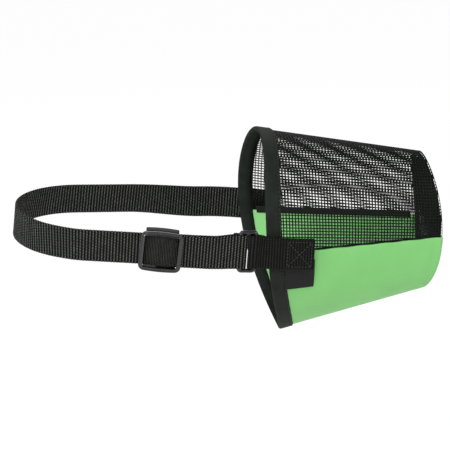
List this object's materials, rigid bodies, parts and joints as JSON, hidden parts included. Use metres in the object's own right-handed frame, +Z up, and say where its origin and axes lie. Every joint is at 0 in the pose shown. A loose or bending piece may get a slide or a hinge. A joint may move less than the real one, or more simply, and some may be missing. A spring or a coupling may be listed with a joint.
{
  "type": "basket muzzle",
  "caption": "Soft basket muzzle: mesh hood and nose panel over a coated fabric lower shell, bound snout opening, webbing neck strap with keeper ring and slider.",
  "frame": {"origin": "centre of the snout opening, on the curved rim line", "axes": "+X to the nose, +Z up, -Y the side with the slider and the label"},
  "size_m": [0.3231, 0.1301, 0.1672],
  "materials": {
    "black_mesh": "open woven vinyl-coated mesh",
    "green_fabric": "coated woven fabric, satin",
    "black_tape": "smooth binding tape",
    "webbing": "ribbed polypropylene webbing",
    "thread": "sewing thread",
    "label": "bare woven label",
    "black_plastic": "moulded, glossy"
  },
  "bodies": {
    "basket": {"mesh_hood": "black_mesh", "lower_shell": "green_fabric", "nose_panel": "black_mesh", "rim_binding": "black_tape", "nose_seam_tape": "black_tape", "hem_tape_near": "black_tape", "hem_tape_far": "black_tape", "keel_tape": "black_tape", "side_tab": "webbing", "far_strap_end": "webbing", "label_patch": "label", "tab_stitching": "thread", "far_stitching": "thread"},
    "neck_strap": {"neck_strap": "webbing", "tab_loop": "webbing", "inner_ply": "webbing"},
    "keeper_ring": {"keeper_ring": "black_plastic"},
    "slider": {"slider_frame": "black_plastic", "strap_end_loop": "webbing"}
  },
  "joints": [
    {"name": "strap_swing", "type": "hinge", "parent": "basket", "child": "neck_strap", "pos_m": [-0.005, 0, 0.0056], "axis": [0, 1, 0], "range_deg": [-15, 20]},
    {"name": "ring_swivel", "type": "hinge", "parent": "neck_strap", "child": "keeper_ring", "pos_m": [-0.01097, -0.06294, 0.00623], "axis": [-0.1045, 0, -0.9945], "range_deg": [0, 8]},
    {"name": "slider_travel", "type": "slide", "parent": "neck_strap", "child": "slider", "axis": [0.9862, -0.1293, -0.1037], "range_m": [-0.028, 0.018], "deforming": ["inner_ply"]}
  ]
}
